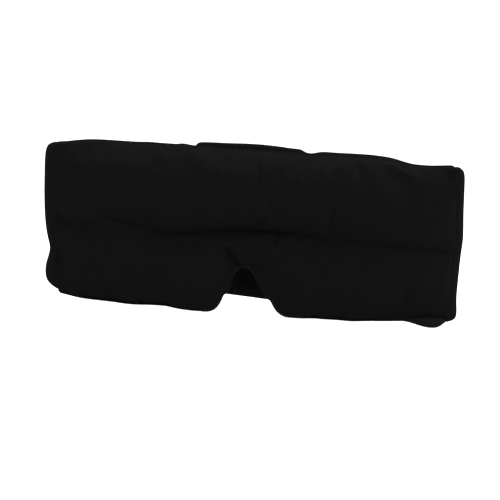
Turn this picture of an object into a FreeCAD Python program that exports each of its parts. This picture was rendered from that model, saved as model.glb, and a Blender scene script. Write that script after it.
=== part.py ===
"""Wrap-around padded sleep mask, closed into a flattened loop that stands on its lower edge.

Frame: X runs across the face, -Y is the front that others see, +Z is up. The origin is on the
surface the mask stands on, in the middle of the loop. Left and right are as seen from the front.

A band 7 mm thick runs round the loop in five sections: the front panel, two side panels and two
rear bands that lap at the back. The sections meet in mitred corners, and the fabric folds there
about a rolled seam on the outside of each corner.
"""

import FreeCAD, Part
import math
import os
import re

import Sketcher
from FreeCAD import Placement, Rotation, Vector

DIMENSIONS = [
    ("half_width", 118, "centre to the outside of a side panel"),
    ("half_depth", 25.5, "centre to the crown of the padding, and to the outside of the outer band"),
    ("panel_height", 92, "front panel"),
    ("side_height", 88, "side panels, and the roots of the rear bands"),
    ("corner_outer", 9, "outside radius of a corner of the loop"),
    ("corner_inner", 2, "inside radius of a corner of the loop"),
    ("skin", 1, "cover fabric, and lining fabric"),
    ("mitre_gap", 0.4, "between two sections of the loop where they meet in a corner"),
    ("padding_depth", 17, "front panel from its lining to the crown of the padding"),
    ("head_gap", 17, "from the front panel's lining to the inner band"),
    ("lap_offset", 10, "the outer band lies this much further back than the inner band"),
    ("crease_height", 46, "the crease between the brow roll and the cheek rolls"),
    ("crease_depth", 7, "from the crown back to the crease"),
    ("roll_crown", 9, "rise of each padded roll over its own two edges"),
    ("top_edge", 5, "thickness of the front panel at its top edge"),
    ("bottom_edge", 8, "thickness of the front panel at its bottom edge, which it stands on"),
    ("pad_shoulder", 25, "length of the slope at each end of the padding"),
    ("top_corner", 5, "corner radius of the front panel's outline at the top"),
    ("bottom_corner", 12, "corner radius of the front panel's outline at the bottom"),
    ("notch_height", 28, "nose notch"),
    ("notch_half", 21, "half the width of the nose notch at the bottom edge"),
    ("notch_tip", 2.5, "radius at the top of the notch"),
    ("notch_foot", 7, "radius where the notch runs into the bottom edge"),
    ("binding", 1, "thickness of the tape that binds the notch"),
    ("binding_width", 7, "width of the tape that binds the notch"),
    ("blackout", 0.6, "opaque interlining"),
    ("pad_gap", 0.3, "between neighbouring pads"),
    ("blackout_edge", 2, "the interlining stops this far inside the ends of the lining"),
    ("tape_reach", 100, "half the length of the top seam tape, and the outer end of the hems"),
    ("hem_start", 34, "inner end of each bottom hem, clear of the notch's foot"),
    ("seam_radius", 1.1, "rolled seam on the outside of each corner"),
    ("seam_clearance", 0.3, "from a rolled seam to the section that turns about it"),
    ("seam_margin", 4, "the rolled seams stop this far inside the top and bottom edges"),
    ("inner_tip", -6, "tip of the left band, which is the inner one"),
    ("outer_tip", -35, "tip of the right band, which is the outer one"),
    ("root_foot", 0.8, "bottom edge of the rear bands at their roots"),
    ("tip_foot", 9, "bottom edge of the rear bands at their tips"),
    ("tip_top", 91, "top edge of the rear bands at their tips"),
    ("tip_corner", 5, "corner radius of the rear bands' tips"),
    ("patch_corner", 4, "corner radius of both closure patches"),
    ("loop_thick", 1.4, "loop patch"),
    ("loop_long", 84, "loop patch, along the band"),
    ("loop_tall", 50, "loop patch, across the band"),
    ("loop_edge", 4, "from the loop patch to the tip of its band"),
    ("hook_thick", 1.2, "hook patch, hooks included"),
    ("hook_long", 22, "hook patch, along the band"),
    ("hook_tall", 44, "hook patch, across the band"),
    ("hook_edge", 3, "from the hook patch to the tip of its band"),
    ("patch_middle", 50, "height of the middle of both patches, and of the pull tab"),
    ("tab_thick", 1.6, "folded ribbon of the pull tab"),
    ("tab_long", 14, "pull tab, from its hinge line to its free end"),
    ("tab_tall", 28, "pull tab, across the band"),
    ("tab_corner", 5, "corner radius of the pull tab's free end"),
    ("tab_clearance", 0.3, "from the band's tip to the rolled root of the pull tab"),
    ("label_long", 14, "sewn-in label, along the band"),
    ("label_tall", 20, "sewn-in label, across the band"),
    ("label_thick", 0.4, "sewn-in label"),
    ("label_start", 70, "from the centre to the label's near edge"),
    ("label_foot", 5, "bottom edge of the label"),
    ("stitch_long", 2.2, "one visible stitch"),
    ("stitch_wide", 0.6, "one visible stitch"),
    ("stitch_high", 0.3, "how far a stitch stands out of the fabric"),
    ("stitch_pitch", 3.5, "from one stitch to the next"),
    ("stitch_inset", 1.6, "from a patch's edge to its row of stitches"),
]
ALIASES = {alias for alias, _, _ in DIMENSIONS}

# Places worked out from the dimensions, as expressions.
FACE = "(padding_depth - half_depth)"  # the lining's face side
LINING_FRONT = f"({FACE} - skin)"
CORNER_X = "(half_width - corner_outer)"
FRONT_CORNER_Y = f"({FACE} + corner_inner)"
INNER_CORNER_Y = f"({FACE} + head_gap - corner_inner)"  # rear corner that the inner band turns from
OUTER_CORNER_Y = f"({INNER_CORNER_Y} + lap_offset)"
DIAGONAL = "sqrt(0.5)"
HALF_GAP = "(mitre_gap / 2)"
FAR = 40  # mm, further than any face that a cutting or limiting body has to pass
TOUCHING = 0.01  # mm, points nearer than this are the same point

doc = FreeCAD.newDocument("SleepMask")
dims = doc.addObject("Spreadsheet::Sheet", "Dims")
for row, (alias, number, meaning) in enumerate(DIMENSIONS, start=1):
    dims.set(f"A{row}", alias)
    dims.set(f"B{row}", str(number))
    dims.setAlias(f"B{row}", alias)
    dims.set(f"C{row}", meaning)
doc.recompute()


def bound(expression):
    """An expression with the sheet's name before each of its aliases."""
    return re.sub(r"[a-z_]{3,}", lambda m: f"Dims.{m[0]}" if m[0] in ALIASES else m[0], str(expression))


def value(expression):
    """The number that an expression stands for now."""
    result = dims.evalExpression(bound(expression))
    return float(getattr(result, "Value", result))


def bind(obj, prop, expression):
    obj.setExpression(prop, bound(expression))


# ---------------------------------------------------------------- sketches and bodies


def new_body(name):
    return doc.addObject("PartDesign::Body", name)


def sketch_on(body, plane, offset="0"):
    """A sketch on one of the body's own origin planes, moved along its normal by an expression."""
    sketch = body.newObject("Sketcher::SketchObject", f"{body.Name}_sketch")
    origin_plane = next(f for f in body.Origin.OriginFeatures if f.Role == plane)
    sketch.AttachmentSupport = (origin_plane, [""])
    sketch.MapMode = "FlatFace"
    bind(sketch, "AttachmentOffset.Base.z", offset)
    return sketch


def add_bound(sketch, constraint, expression):
    index = sketch.addConstraint(constraint)
    sketch.setExpression(f"Constraints[{index}]", bound(expression))


def arc_middle(start, end, radius, side):
    """The point halfway along an arc of under half a turn. side is 1 if its centre is on the left."""
    chord = end - start
    half = chord.Length / 2
    rise = radius - math.sqrt(radius**2 - half**2)
    left = Vector(-chord.y, chord.x, 0).normalize()
    return start + chord * 0.5 - left * (side * rise)


def draw_outline(sketch, steps):
    """A closed outline. A step (x, y) starts a straight side, and (x, y, radius, side) starts an arc."""
    points = [Vector(value(step[0]), value(step[1]), 0) for step in steps]
    for i, step in enumerate(steps):
        start, end = points[i], points[(i + 1) % len(points)]
        if len(step) == 2:
            sketch.addGeometry(Part.LineSegment(start, end))
        else:
            middle = arc_middle(start, end, value(step[2]), step[3])
            sketch.addGeometry(Part.Arc(start, middle, end))
    # An arc of a sketch always runs anticlockwise, so a clockwise one starts at its end.
    def ends(i):
        return (2, 1) if len(steps[i]) == 4 and steps[i][3] < 0 else (1, 2)

    for i, step in enumerate(steps):
        following = (i + 1) % len(steps)
        sketch.addConstraint(Sketcher.Constraint("Coincident", i, ends(i)[1], following, ends(following)[0]))
    for i, (step, point) in enumerate(zip(steps, points)):
        first = ends(i)[0]
        add_bound(sketch, Sketcher.Constraint("DistanceX", -1, 1, i, first, point.x), step[0])
        add_bound(sketch, Sketcher.Constraint("DistanceY", -1, 1, i, first, point.y), step[1])
        if len(step) == 4:
            add_bound(sketch, Sketcher.Constraint("Radius", i, value(step[2])), step[2])


def add_pad(body, sketch, length):
    pad = body.newObject("PartDesign::Pad", f"{body.Name}_pad")
    pad.Profile = sketch
    bind(pad, "Length", length)
    return pad


def upright(name, steps, foot, height):
    """A body whose plan outline is padded up from foot."""
    body = new_body(name)
    sketch = sketch_on(body, "XY_Plane", foot)
    draw_outline(sketch, steps)
    add_pad(body, sketch, height)
    return body


def facing(name, steps, back, depth):
    """A body whose outline in X and Z is padded forward, towards -Y, from the plane y = back."""
    body = new_body(name)
    sketch = sketch_on(body, "XZ_Plane", f"-({back})")
    draw_outline(sketch, steps)
    add_pad(body, sketch, depth)
    return body


def round_edges(body, direction, corners, radius):
    """Fillets the straight edges along direction that pass through the given corners of the outline."""
    doc.recompute()
    base = body.Tip
    across = [k for k in range(3) if k != "XYZ".index(direction)]
    wanted = [[value(c) for c in corner] for corner in corners]
    names = []
    for number, edge in enumerate(base.Shape.Edges, start=1):
        ends = [v.Point for v in edge.Vertexes]
        if len(ends) != 2:
            continue
        flat = [[end[k] for k in across] for end in ends]
        if any(all(math.dist(end, corner) < TOUCHING for end in flat) for corner in wanted):
            names.append(f"Edge{number}")
    assert len(names) == len(wanted), f"{body.Name}: {len(names)} edges for {len(wanted)} corners"
    fillet = body.newObject("PartDesign::Fillet", f"{body.Name}_fillet")
    fillet.Base = (base, names)
    bind(fillet, "Radius", radius)
    doc.recompute()


def box(name, low, size):
    """A Part box with its corner and its three sizes given as expressions."""
    made = doc.addObject("Part::Box", name)
    for prop, expression in zip(("Length", "Width", "Height"), size):
        bind(made, prop, expression)
    for axis, expression in zip("xyz", low):
        bind(made, f"Placement.Base.{axis}", expression)
    return made


def upright_cylinder(name, x, y, foot, radius, height):
    made = doc.addObject("Part::Cylinder", name)
    bind(made, "Radius", radius)
    bind(made, "Height", height)
    for axis, expression in zip("xyz", (x, y, foot)):
        bind(made, f"Placement.Base.{axis}", expression)
    return made


def cut(name, base, *tools):
    """base less each tool in turn."""
    for number, tool in enumerate(tools, start=1):
        result = doc.addObject("Part::Cut", name if number == len(tools) else f"{name}_step{number}")
        result.Base = base
        result.Tool = tool
        base = result
    return base


def common(name, *shapes):
    result = doc.addObject("Part::MultiCommon", name)
    result.Shapes = list(shapes)
    return result


SUBPARTS = []


def subpart(obj, label):
    """Marks an object as one physical piece, exported under its label."""
    obj.Label = label
    SUBPARTS.append(obj)
    return obj


# ---------------------------------------------------------------- front panel


def roll_radius(rise, run):
    """Radius of an arc that rises roll_crown over a chord with the given two components."""
    return f"((({rise})^2 + ({run})^2) / (8 * roll_crown) + roll_crown / 2)"


def front_section(name, inset):
    """The panel's section in Y and Z, two padded rolls with the crease between them, padded along X."""
    top_y = f"({LINING_FRONT} - top_edge)"
    foot_y = f"({LINING_FRONT} - bottom_edge)"
    crease_y = f"(crease_depth - half_depth + {inset})"
    top = f"(panel_height - {inset})"
    body = new_body(name)
    sketch = sketch_on(body, "YZ_Plane", "-half_width")
    steps = [
        (FACE, inset),
        (FACE, top),
        (top_y, top, roll_radius(f"{top_y} - {crease_y}", f"{top} - crease_height"), 1),
        (crease_y, "crease_height", roll_radius(f"{foot_y} - {crease_y}", f"crease_height - {inset}"), 1),
        (foot_y, inset),
    ]
    draw_outline(sketch, steps)
    add_pad(body, sketch, "2 * half_width")
    return body


def front_outline(inset):
    """Corners of the panel's outline in X and Z, with the nose notch."""
    edge = f"(half_width - {inset})"
    top = f"(panel_height - {inset})"
    leg = "sqrt(notch_height^2 + notch_half^2)"
    apex = f"(notch_height + {inset} * {leg} / notch_half)"
    foot = f"(notch_half + {inset} * ({leg} - notch_half) / notch_height)"
    return {
        "bottom_left": (f"-{edge}", inset),
        "notch_left": (f"-{foot}", inset),
        "apex": ("0", apex),
        "notch_right": (foot, inset),
        "bottom_right": (edge, inset),
        "top_right": (edge, top),
        "top_left": (f"-{edge}", top),
    }


def front_slab(name, inset, back, depth):
    """A flat slab with the panel's outline, its corners rounded."""
    corners = front_outline(inset)
    body = facing(name, list(corners.values()), back, depth)
    round_edges(body, "Y", [corners["top_left"], corners["top_right"]], f"top_corner - {inset} / 2")
    round_edges(body, "Y", [corners["bottom_left"], corners["bottom_right"]], f"bottom_corner - {inset}")
    round_edges(body, "Y", [corners["notch_left"], corners["notch_right"]], f"notch_foot - {inset}")
    round_edges(body, "Y", [corners["apex"]], f"notch_tip + {inset}")
    return body


def mitre_point(side, corner_y, radius, rear, away, clear=HALF_GAP):
    """A point at clear from a corner's mitre plane. rear is 1 at a rear corner and -1 at a front one.

    away is 1 on the side panel's side of the plane and -1 on the side of the section across it.
    """
    x = f"{side} * ({CORNER_X} + {DIAGONAL} * ({radius}) + {away} * {DIAGONAL} * {clear})"
    y = f"({corner_y} + {rear} * {DIAGONAL} * ({radius}) - {away} * {rear} * {DIAGONAL} * {clear})"
    return x, y


def panel_plan(inset):
    """Plan of the panel from mitre to mitre, with the padding's sloping shoulders."""
    shoulder_x = f"({CORNER_X} - pad_shoulder)"
    back = f"({FACE} - {inset})"
    band_front = f"({FRONT_CORNER_Y} - corner_outer + {inset})"
    crown = f"({inset} - half_depth)"
    drop = f"({band_front} - {crown})"
    slope = f"((pad_shoulder^2 + {drop}^2) / (2 * {drop}))"
    inner, outer = f"(corner_inner + {inset})", f"(corner_outer - {inset})"
    clear = f"({HALF_GAP} + {inset})"

    def end(side):
        return [mitre_point(side, FRONT_CORNER_Y, radius, -1, -1, clear) for radius in (inner, outer)]

    (left_in, left_out), (right_in, right_out) = end(-1), end(1)
    return [
        (f"-{CORNER_X}", back, inner, -1),
        left_in,
        (*left_out, outer, 1),
        (f"-{CORNER_X}", band_front, slope, 1),
        (f"-{shoulder_x}", crown),
        (shoulder_x, crown, slope, 1),
        (CORNER_X, band_front, outer, 1),
        right_out,
        (*right_in, inner, -1),
        (CORNER_X, back),
    ]


def front_block(name, inset):
    """The solid that the section, the plan and the outline have in common."""
    section = front_section(f"{name}_section", inset)
    flat = upright(f"{name}_plan", panel_plan(inset), f"-{FAR}", f"panel_height + 2 * {FAR}")
    slab = front_slab(f"{name}_slab", inset, FAR, f"2 * {FAR}")
    return common(name, section, flat, slab)


def front_padding(inside):
    """Three pads: one roll over the brow, and one on each cheek beside the notch."""
    back = f"({LINING_FRONT} - blackout)"
    depth = f"({back} + half_depth)"
    half_gap = "(pad_gap / 2)"
    brow = box(
        "brow_limit",
        ("-half_width", "-half_depth", f"crease_height + {half_gap}"),
        ("2 * half_width", depth, "panel_height - crease_height"),
    )
    subpart(common("brow_roll", inside, brow), "brow_pad")
    for side, name in ((-1, "left"), (1, "right")):
        start = "-half_width" if side < 0 else half_gap
        limit = box(
            f"{name}_cheek_limit",
            (start, "-half_depth", "0"),
            (f"half_width - {half_gap}", depth, f"crease_height - {half_gap}"),
        )
        subpart(common(f"{name}_cheek_roll", inside, limit), f"cheek_pad_{name}")


def notch_wedge(name, inset, back, depth):
    """The notch's triangle, pointing up, with its top rounded."""
    corners = front_outline(inset)
    (left, _), (right, _) = corners["notch_left"], corners["notch_right"]
    body = facing(name, [(left, inset), (right, inset), corners["apex"]], back, depth)
    round_edges(body, "Y", [corners["apex"]], f"notch_tip + {inset}")
    return body


def notch_binding():
    """Tape that lines the notch, from just above its feet over its top."""
    outer = notch_wedge("binding_outside", "0", FACE, "binding_width")
    inner = notch_wedge("binding_inside", "(-binding)", FAR, f"2 * {FAR}")
    foot = box("binding_foot", ("-half_width", f"-{FAR}", "0"), ("2 * half_width", f"2 * {FAR}", "notch_foot"))
    subpart(cut("binding_tape", outer, inner, foot), "notch_binding")


def face_layer(name, reach, inset, back, depth):
    """A flat layer with the panel's outline, out to reach on each side."""
    slab = front_slab(f"{name}_slab", inset, back, depth)
    limit = box(f"{name}_reach", (f"-{reach}", f"-{FAR}", "0"), (f"2 * {reach}", f"2 * {FAR}", "panel_height"))
    return common(f"{name}_sheet", slab, limit)


def build_front():
    lining = subpart(face_layer("lining", CORNER_X, "0", FACE, "skin"), "face_lining")
    shade_reach = f"({CORNER_X} - blackout_edge)"
    shade = face_layer("blackout", shade_reach, "blackout_edge", LINING_FRONT, "blackout")
    subpart(shade, "blackout_layer")

    outside = front_block("cover_outside", "0")
    inside = front_block("cover_inside", "skin")
    hem_size = ("tape_reach - hem_start", "bottom_edge", "skin")
    hem_y = f"{LINING_FRONT} - bottom_edge"
    hems = [
        subpart(box("hem_left", ("-tape_reach", hem_y, "0"), hem_size), "bottom_hem_left"),
        subpart(box("hem_right", ("hem_start", hem_y, "0"), hem_size), "bottom_hem_right"),
    ]
    tape = box(
        "seam_tape",
        ("-tape_reach", f"{LINING_FRONT} - top_edge", "panel_height - skin"),
        ("2 * tape_reach", "top_edge", "skin"),
    )
    subpart(tape, "top_seam_tape")
    rolls = [corner_seam(side, FRONT_CORNER_Y, -1, f"{name}_front_seam") for side, name in SIDES]
    subpart(cut("front_shell", outside, inside, lining, *hems, tape, *rolls), "front_cover")
    front_padding(inside)
    notch_binding()


# ---------------------------------------------------------------- corners, side panels and rear bands

SIDES = ((-1, "left"), (1, "right"))
REAR_CORNER_Y = {-1: INNER_CORNER_Y, 1: OUTER_CORNER_Y}


def seam_axis(side, corner_y, rear):
    """Where the rolled seam of a corner stands: in the middle of the corner's outer arc."""
    x = f"{side} * ({CORNER_X} + {DIAGONAL} * corner_outer)"
    y = f"({corner_y} + {rear} * {DIAGONAL} * corner_outer)"
    return x, y


def corner_seam(side, corner_y, rear, label):
    x, y = seam_axis(side, corner_y, rear)
    height = "side_height - 2 * seam_margin"
    return subpart(upright_cylinder(f"{label}_roll", x, y, "seam_margin", "seam_radius", height), label)


def seam_relief(name, side, corner_y, rear):
    """Room for a rolled seam in the section that turns about it."""
    x, y = seam_axis(side, corner_y, rear)
    radius = "seam_radius + seam_clearance"
    return upright_cylinder(name, x, y, f"-{FAR}", radius, f"panel_height + 2 * {FAR}")


def side_plan(side, inner, outer):
    """Plan of one layer of a side panel, from the front mitre to the rear mitre."""
    front_y, rear_y = FRONT_CORNER_Y, REAR_CORNER_Y[side]
    turn = -side  # the right side panel is drawn as a mirror image
    return [
        (*mitre_point(side, front_y, inner, -1, 1), inner, -turn),
        (f"{side} * ({CORNER_X} + {inner})", front_y),
        (f"{side} * ({CORNER_X} + {inner})", rear_y, inner, -turn),
        mitre_point(side, rear_y, inner, 1, 1),
        (*mitre_point(side, rear_y, outer, 1, 1), outer, turn),
        (f"{side} * ({CORNER_X} + {outer})", rear_y),
        (f"{side} * ({CORNER_X} + {outer})", front_y, outer, turn),
        mitre_point(side, front_y, outer, -1, 1),
    ]


def band_plan(side, tip, inner, outer):
    """Plan of one layer of a rear band, from its mitre to its tip."""
    rear_y = REAR_CORNER_Y[side]
    turn = -side
    return [
        (f"{side} * {CORNER_X}", f"{rear_y} + {inner}"),
        (tip, f"{rear_y} + {inner}"),
        (tip, f"{rear_y} + {outer}"),
        (f"{side} * {CORNER_X}", f"{rear_y} + {outer}", outer, turn),
        mitre_point(side, rear_y, outer, 1, -1),
        (*mitre_point(side, rear_y, inner, 1, -1), inner, -turn),
    ]


def band_slab(name, side, tip, inset):
    """The tapering outline of a rear band in X and Z."""
    inward = f"{tip} - {side} * (-{inset})"
    root = f"{side} * half_width"
    tip_low = (inward, f"tip_foot + {inset}")
    tip_high = (inward, f"tip_top - {inset}")
    steps = [(root, f"root_foot + {inset}"), tip_low, tip_high, (root, f"side_height - {inset}")]
    body = facing(name, steps, FAR, f"2 * {FAR}")
    round_edges(body, "Y", [tip_low, tip_high], f"tip_corner - {inset}")
    return body


CORE_INNER, CORE_OUTER = "(corner_inner + skin)", "(corner_outer - skin)"


def build_side(side, name):
    """Side panel: cover folded over thin padding at the top and bottom, and a lining."""
    rear_y = REAR_CORNER_Y[side]
    front_relief = seam_relief(f"{name}_front_relief", side, FRONT_CORNER_Y, -1)
    rear_roll = corner_seam(side, rear_y, 1, f"{name}_rear_seam")
    height = "side_height"
    core = upright(f"{name}_side_core", side_plan(side, CORE_INNER, CORE_OUTER), "skin", f"{height} - 2 * skin")
    pad = subpart(cut(f"{name}_side_padding", core, front_relief, rear_roll), f"{name}_side_pad")
    block = upright(f"{name}_side_block", side_plan(side, CORE_INNER, "corner_outer"), "0", height)
    subpart(cut(f"{name}_side_shell", block, pad, front_relief, rear_roll), f"{name}_side_cover")
    lining = upright(f"{name}_side_sheet", side_plan(side, "corner_inner", CORE_INNER), "0", height)
    subpart(lining, f"{name}_side_lining")


def build_band(side, name, tip):
    """Rear band: cover folded over thin padding, and a lining."""
    relief = seam_relief(f"{name}_rear_relief", side, REAR_CORNER_Y[side], 1)
    full = band_slab(f"{name}_band_outline", side, tip, "0")
    inset = band_slab(f"{name}_pad_outline", side, tip, "skin")
    tall = f"panel_height + 2 * {FAR}"

    def layer(label, inner, outer, outline):
        plan = upright(f"{name}_{label}_plan", band_plan(side, tip, inner, outer), f"-{FAR}", tall)
        return common(f"{name}_{label}", plan, outline)

    pad = cut(f"{name}_padding", layer("pad_layer", CORE_INNER, CORE_OUTER, inset), relief)
    subpart(pad, f"{name}_band_pad")
    block = layer("cover_layer", CORE_INNER, "corner_outer", full)
    subpart(cut(f"{name}_band_shell", block, pad, relief), f"{name}_band_cover")
    subpart(layer("lining_layer", "corner_inner", CORE_INNER, full), f"{name}_band_lining")


# ---------------------------------------------------------------- closure, label and tab

INNER_BAND_BACK = f"({INNER_CORNER_Y} + corner_outer)"
OUTER_BAND_FACE = f"({OUTER_CORNER_Y} + corner_inner)"
OUTER_BAND_BACK = f"({OUTER_CORNER_Y} + corner_outer)"


def patch(name, start, back, long, tall, thick, label):
    """A patch with rounded corners, its middle at patch_middle."""
    low, high = f"patch_middle - {tall} / 2", f"patch_middle + {tall} / 2"
    corners = [(start, low), (f"{start} + {long}", low), (f"{start} + {long}", high), (start, high)]
    body = facing(name, corners, back, thick)
    round_edges(body, "Y", corners, "patch_corner")
    return subpart(body, label)


def stitch_row(start, end, y):
    """Boxes for the stitches between two points in X and Z, lying on the plane at y."""
    along = end - start
    count = max(2, round(along.Length / value("stitch_pitch")))
    long, wide, high = (value(a) for a in ("stitch_long", "stitch_wide", "stitch_high"))
    flat = along.x != 0
    size = (long, high, wide) if flat else (wide, high, long)
    made = []
    for number in range(count):
        centre = start + along * ((number + 0.5) / count)
        corner = Vector(centre.x - size[0] / 2, y, centre.z - size[2] / 2)
        made.append(Part.makeBox(*size, corner))
    return made


def patch_stitches(name, start, long, tall, y, label):
    """One row of stitches inside each edge of a patch, as separate solids in one node."""
    inset, corner = value("stitch_inset"), value("patch_corner")
    middle = value("patch_middle")
    left, right = value(start), value(start) + value(long)
    low, high = middle - value(tall) / 2, middle + value(tall) / 2
    rows = [
        (Vector(left + corner, 0, low + inset), Vector(right - corner, 0, low + inset)),
        (Vector(left + corner, 0, high - inset), Vector(right - corner, 0, high - inset)),
        (Vector(left + inset, 0, low + corner), Vector(left + inset, 0, high - corner)),
        (Vector(right - inset, 0, low + corner), Vector(right - inset, 0, high - corner)),
    ]
    made = doc.addObject("Part::Feature", name)
    made.Shape = Part.makeCompound([s for first, last in rows for s in stitch_row(first, last, value(y))])
    made.Placement = Placement(Vector(0, 0, 0), Rotation())
    return subpart(made, label)


def build_closure():
    """Loop patch on the inner band, and hook patch on the outer one, each with its stitches."""
    loop_start = "(inner_tip - loop_edge - loop_long)"
    loop_back = f"({INNER_BAND_BACK} + loop_thick)"
    patch("loop_tape", loop_start, loop_back, "loop_long", "loop_tall", "loop_thick", "loop_patch")
    patch_stitches("loop_thread", loop_start, "loop_long", "loop_tall", loop_back, "loop_stitches")
    hook_start = "(outer_tip + hook_edge)"
    patch("hook_tape", hook_start, OUTER_BAND_FACE, "hook_long", "hook_tall", "hook_thick", "hook_patch")
    patch_stitches("hook_thread", hook_start, "hook_long", "hook_tall", OUTER_BAND_BACK, "hook_stitches")


def build_label():
    """Blank label sewn to the face side of the outer band."""
    low = ("label_start", f"{OUTER_BAND_FACE} - label_thick", "label_foot")
    subpart(box("label_cloth", low, ("label_long", "label_thick", "label_tall")), "care_label")


def build_tab():
    """Ribbon tab at the tip of the outer band, with a rolled root that it turns about."""
    middle_y = f"({OUTER_CORNER_Y} + (corner_inner + corner_outer) / 2)"
    hinge_x = "(outer_tip - tab_clearance - tab_thick / 2)"
    end_x = f"({hinge_x} - tab_long)"
    low, high = "(patch_middle - tab_tall / 2)", "(patch_middle + tab_tall / 2)"
    front, back = f"({middle_y} - tab_thick / 2)", f"({middle_y} + tab_thick / 2)"
    body = new_body("tab_ribbon")
    sketch = sketch_on(body, "XY_Plane", low)
    roll_radius = "tab_thick / 2"
    steps = [
        (end_x, front),
        (hinge_x, front, roll_radius, 1),
        (f"{hinge_x} + tab_thick / 2", middle_y, roll_radius, 1),
        (hinge_x, back),
        (end_x, back),
    ]
    draw_outline(sketch, steps)
    add_pad(body, sketch, "tab_tall")
    round_edges(body, "Y", [(end_x, low), (end_x, high)], "tab_corner")
    subpart(body, "pull_tab")


build_front()
for side, name in SIDES:
    build_side(side, name)
build_band(-1, "left", "inner_tip")
build_band(1, "right", "outer_tip")
build_closure()
build_label()
build_tab()

# ---------------------------------------------------------------- checks and export

doc.recompute()
for obj in doc.Objects:
    bad = {"Invalid", "Error"} & set(obj.State)
    assert not bad, f"{obj.Name} ({obj.Label}) is {obj.State}"
os.makedirs("parts", exist_ok=True)
for obj in SUBPARTS:
    shape = obj.Shape
    assert not shape.isNull() and shape.isValid() and shape.Solids, f"{obj.Label} has no valid solid"
    shape.exportStep(f"parts/{obj.Label}.step")
    box_ = shape.BoundBox
    print(
        f"{obj.Label:20s} {len(shape.Solids):3d} solids {shape.Volume:10.1f} mm3"
        f"  x {box_.XMin:7.1f} {box_.XMax:7.1f}  y {box_.YMin:6.1f} {box_.YMax:6.1f}"
        f"  z {box_.ZMin:5.1f} {box_.ZMax:5.1f}"
    )
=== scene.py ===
"""Looks of the padded wrap-around sleep mask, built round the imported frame.

Shapes are worked out in millimetres in the frame's axes: X to the right as seen from the front,
-Y towards the viewer, Z up. They become metres only where a mesh is made.

Each shape is first laid out on the mask's nominal form, a straight-ended flattened loop, and then
settled, which pulls in the loop's two ends where the soft fabric has slumped.
"""

import math

import bmesh
import bpy
import numpy as np
from mathutils import Matrix, Vector, noise
from mathutils.bvhtree import BVHTree


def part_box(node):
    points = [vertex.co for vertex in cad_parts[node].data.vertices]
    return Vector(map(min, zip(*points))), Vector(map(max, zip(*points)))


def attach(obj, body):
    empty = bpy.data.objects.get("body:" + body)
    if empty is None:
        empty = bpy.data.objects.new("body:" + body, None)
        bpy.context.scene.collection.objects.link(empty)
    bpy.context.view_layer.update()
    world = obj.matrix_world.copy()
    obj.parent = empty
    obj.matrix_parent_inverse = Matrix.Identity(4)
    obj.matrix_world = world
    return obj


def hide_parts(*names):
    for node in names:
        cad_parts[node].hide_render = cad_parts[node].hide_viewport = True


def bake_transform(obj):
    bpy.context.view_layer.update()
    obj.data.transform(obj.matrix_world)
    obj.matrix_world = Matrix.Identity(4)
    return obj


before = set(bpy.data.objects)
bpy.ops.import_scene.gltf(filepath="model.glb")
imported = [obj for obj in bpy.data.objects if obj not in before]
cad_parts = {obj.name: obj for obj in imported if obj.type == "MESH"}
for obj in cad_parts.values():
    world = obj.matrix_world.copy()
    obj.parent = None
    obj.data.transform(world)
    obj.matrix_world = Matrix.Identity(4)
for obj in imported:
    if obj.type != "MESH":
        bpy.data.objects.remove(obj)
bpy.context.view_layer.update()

MM = 0.001


def node_box(node):
    """Lowest and highest corner of a CAD node, in millimetres."""
    return tuple(np.array(corner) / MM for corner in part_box(node))


# ---------------------------------------------------------------- places, from the frame

FACE_Y = node_box("face_lining")[1][1]  # the wearer's side of the front panel
CROWN_Y = node_box("front_cover")[0][1]  # the foremost point of the padding
HALF_WIDTH = node_box("right_side_cover")[1][0]
THICKNESS = 7.0  # of the side panels and the rear bands
CORNER_OUTER = 9.0
CORNER_INNER = CORNER_OUTER - THICKNESS
CORNER_X = HALF_WIDTH - CORNER_OUTER
FRONT_CORNER_Y = FACE_Y + CORNER_INNER
BAND_BACK = {-1: node_box("left_band_cover")[1][1], 1: node_box("right_band_cover")[1][1]}
BAND_TIP = {-1: node_box("left_band_cover")[1][0], 1: node_box("right_band_cover")[0][0]}
SIDE_NAME = {-1: "left", 1: "right"}
SEAM_X = HALF_WIDTH - 5.5  # seam between the front panel and the side panels


# ---------------------------------------------------------------- small tools


def smooth(*points):
    """A function through the points, smooth and with no overshoot between them."""
    x, y = np.array(points, float).T
    run = np.diff(x)
    slope = np.diff(y) / run
    tangent = np.zeros_like(y)
    tangent[0], tangent[-1] = slope[0], slope[-1]
    before, after = slope[:-1], slope[1:]
    rising = before * after > 0
    tangent[1:-1][rising] = 2 * before[rising] * after[rising] / (before[rising] + after[rising])

    def at(q):
        q = np.clip(q, x[0], x[-1])
        i = np.clip(np.searchsorted(x, q) - 1, 0, len(x) - 2)
        t = (q - x[i]) / run[i]
        start = (1 + 2 * t) * (1 - t) ** 2 * y[i] + t * (1 - t) ** 2 * run[i] * tangent[i]
        return start + t * t * (3 - 2 * t) * y[i + 1] + t * t * (t - 1) * run[i] * tangent[i + 1]

    return at


def ease(t):
    t = np.clip(t, 0, 1)
    return t * t * (3 - 2 * t)


def dome(t):
    """Quarter of a circle: 0 at the edge, rising steeply, and level from 1 on."""
    return np.sqrt(1 - (1 - np.clip(t, 0, 1)) ** 2)


def wander(points, size, seed):
    """Smooth noise from -1 to 1 at each point, with lumps of about size mm."""
    return np.array([noise.noise(Vector(p) / size + Vector((seed, 0, 0))) for p in points])


def ripple(*place):
    """Smooth noise from -1 to 1 at one place."""
    return noise.noise(Vector(place))


def unit(vectors):
    return vectors / np.linalg.norm(vectors, axis=1)[:, None]


def as_points(x, y, z):
    """A list of points from coordinates that are arrays of one shape, or that spread to one."""
    return np.stack(np.broadcast_arrays(x, y, z), axis=-1).reshape(-1, 3)


def path_lengths(path):
    """Distance travelled at each point of a path."""
    return np.concatenate([[0], np.cumsum(np.linalg.norm(np.diff(path, axis=0), axis=1))])


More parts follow.
